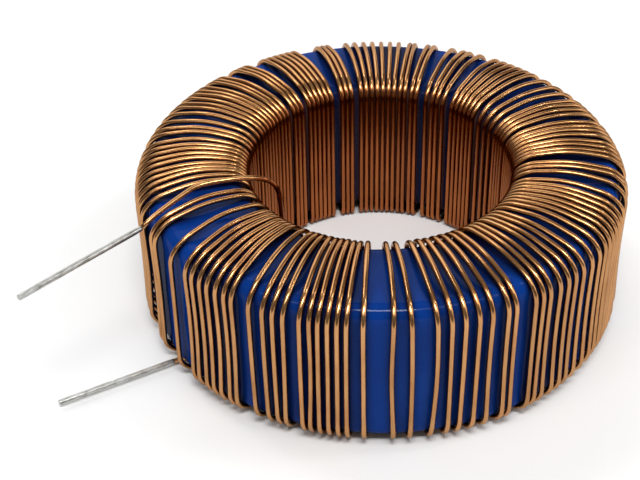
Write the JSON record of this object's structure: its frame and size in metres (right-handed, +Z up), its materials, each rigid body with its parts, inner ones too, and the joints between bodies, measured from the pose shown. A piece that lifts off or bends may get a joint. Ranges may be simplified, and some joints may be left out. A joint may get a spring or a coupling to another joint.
{
  "type": "toroidal inductor",
  "caption": "Ring-shaped power inductor: a blue coated powder core wound all round with one layer of enamelled copper wire, with two straight tinned leads on one side.",
  "frame": {"origin": "on the ring's axis, in the plane of the surface that the winding stands on", "axes": "+Z up along the ring's axis; the leads leave towards -X and -Y, and -Y is the side the picture was taken from"},
  "size_m": [0.0573, 0.0498, 0.0194],
  "materials": {
    "powder": "pressed powder",
    "coating": "glossy epoxy",
    "enamelled_wire": "clear glossy enamel over copper",
    "tin": "tinned"
  },
  "bodies": {
    "root": {"powder_core": "powder", "core_coating": "coating", "winding": "enamelled_wire", "start_lead": "tin", "finish_lead": "tin"}
  },
  "joints": []
}
